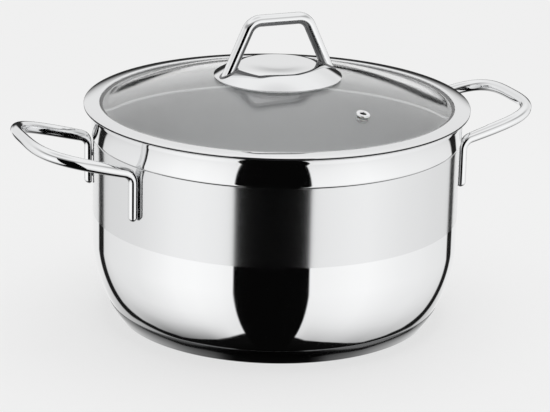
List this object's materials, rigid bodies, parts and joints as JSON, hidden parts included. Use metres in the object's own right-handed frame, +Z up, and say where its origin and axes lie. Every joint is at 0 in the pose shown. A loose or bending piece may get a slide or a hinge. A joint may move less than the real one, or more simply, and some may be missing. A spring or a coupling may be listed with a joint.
{
  "type": "lidded casserole pot",
  "caption": "Deep round steel pot on a bonded flat base, with bent-rod side handles and a lift-off domed glass lid that has a steel band, steam vent and bow handle.",
  "frame": {"origin": "centre of the flat base, on the surface that the pot stands on", "axes": "+Z up along the pot's axis, side handles on +X and -X, steam vent towards -Y"},
  "size_m": [0.366, 0.2622, 0.2103],
  "materials": {
    "polished_steel": "polished, with a satin band round the wall",
    "plain_steel": "plain",
    "aluminium": "satin",
    "glass": "clear tempered",
    "silicone": "matte"
  },
  "bodies": {
    "pot": {"pot_body": "polished_steel", "heat_spreader": "aluminium", "base_cap": "polished_steel", "left_handle": "polished_steel", "left_front_weld": "plain_steel", "left_rear_weld": "plain_steel", "right_handle": "polished_steel", "right_front_weld": "plain_steel", "right_rear_weld": "plain_steel"},
    "lid": {"lid_glass": "glass", "lid_band": "polished_steel", "vent_eyelet": "polished_steel", "vent_gasket": "silicone", "vent_washer": "silicone", "handle_plate": "polished_steel", "lid_handle": "polished_steel", "bow_weld_left": "plain_steel", "bow_weld_right": "plain_steel", "threaded_bush": "plain_steel", "upper_gasket": "silicone", "lower_gasket": "silicone", "screw_washer": "plain_steel", "lid_screw": "plain_steel"}
  },
  "joints": [
    {"name": "lid_lift", "type": "slide", "parent": "pot", "child": "lid", "axis": [0, 0, 1], "range_m": [0, 0.12]}
  ]
}
